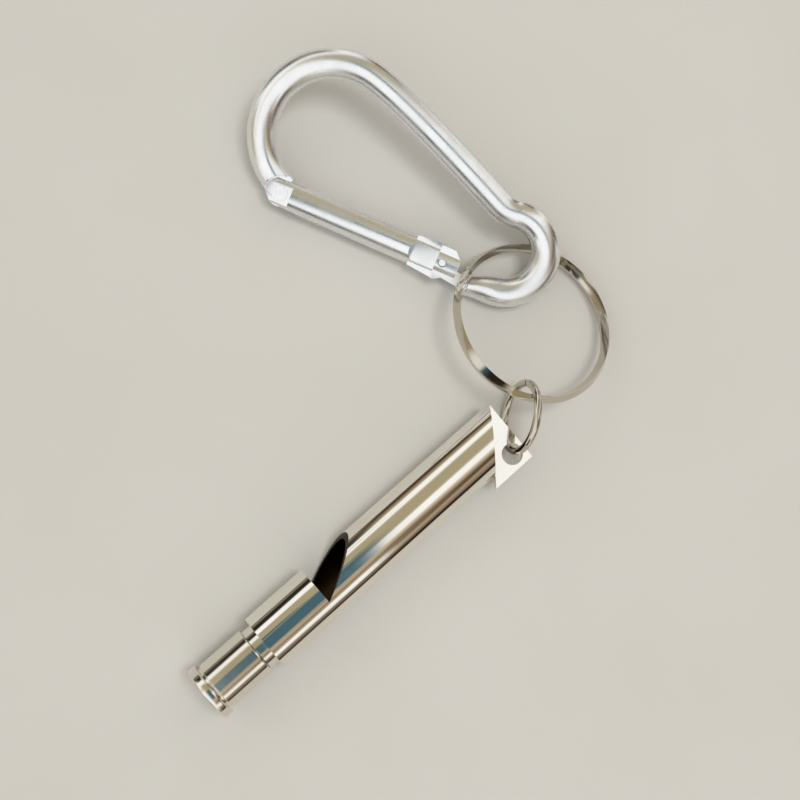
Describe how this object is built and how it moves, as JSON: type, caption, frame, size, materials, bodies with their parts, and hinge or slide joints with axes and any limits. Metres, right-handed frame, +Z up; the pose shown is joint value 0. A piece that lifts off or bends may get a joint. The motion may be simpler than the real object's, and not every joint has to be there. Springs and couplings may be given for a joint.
{
  "type": "emergency whistle",
  "caption": "Tube whistle with a cut window, turned mouthpiece and pinched hanging tab, on a jump ring, split ring and small carabiner with a sprung gate.",
  "frame": {"origin": "middle of the bounding box of the whole chain, on the surface that it lies on", "axes": "+X along the whistle from its mouth rim to its hanging tab, +Y towards the carabiner, +Z up"},
  "size_m": [0.0926, 0.0748, 0.014],
  "materials": {
    "nickel_plate": "bright nickel plate on brass",
    "brass_block": "turned, unplated",
    "nickel_steel": "bright nickel plate on steel wire",
    "polished_aluminium": "tumbled and polished",
    "steel_pins": "drawn, bright",
    "spring_steel": "drawn music wire"
  },
  "bodies": {
    "whistle": {"whistle_tube": "nickel_plate", "mouthpiece": "nickel_plate", "fipple_block": "brass_block"},
    "jump_ring": {"jump_ring": "nickel_steel"},
    "split_ring": {"split_ring": "nickel_steel"},
    "carabiner": {"carabiner_frame": "polished_aluminium", "gate_pivot_rivet": "steel_pins"},
    "gate": {"carabiner_gate": "polished_aluminium", "gate_latch_pin": "steel_pins", "gate_spring": "spring_steel"},
    "plunger": {"gate_spring_plunger": "steel_pins"}
  },
  "joints": [
    {"name": "jump_ring_swivel", "type": "hinge", "parent": "whistle", "child": "jump_ring", "pos_m": [0.01483, -0.03488, 0.00461], "axis": [0, -0.0523, 0.9986], "range_deg": [-150, 40]},
    {"name": "split_ring_fold", "type": "hinge", "parent": "jump_ring", "child": "split_ring", "pos_m": [0.02215, -0.02984, 0.00901], "axis": [0.6352, -0.7555, -0.1605], "range_deg": [-60, 100]},
    {"name": "carabiner_roll", "type": "hinge", "parent": "split_ring", "child": "carabiner", "pos_m": [0.04187, -0.01147, 0.00241], "axis": [-0.6501, 0.7416, 0.1655], "range_deg": [-75, 4]},
    {"name": "gate_hinge", "type": "hinge", "parent": "carabiner", "child": "gate", "pos_m": [0.01456, 0.0226, 0.00269], "axis": [-0.3422, -0.164, 0.9252], "range_deg": [0, 19], "stiffness_Nm_per_rad": 0.02, "springref_deg": -22.92},
    {"name": "plunger_slide", "type": "slide", "parent": "gate", "child": "plunger", "axis": [0.4562, -0.8898, 0.011], "range_m": [0, 0.00035], "deforming": ["gate_spring"]}
  ],
  "couplings": [
    {"joint": "plunger_slide", "follows": "gate_hinge", "m_per_rad": 0.001}
  ]
}
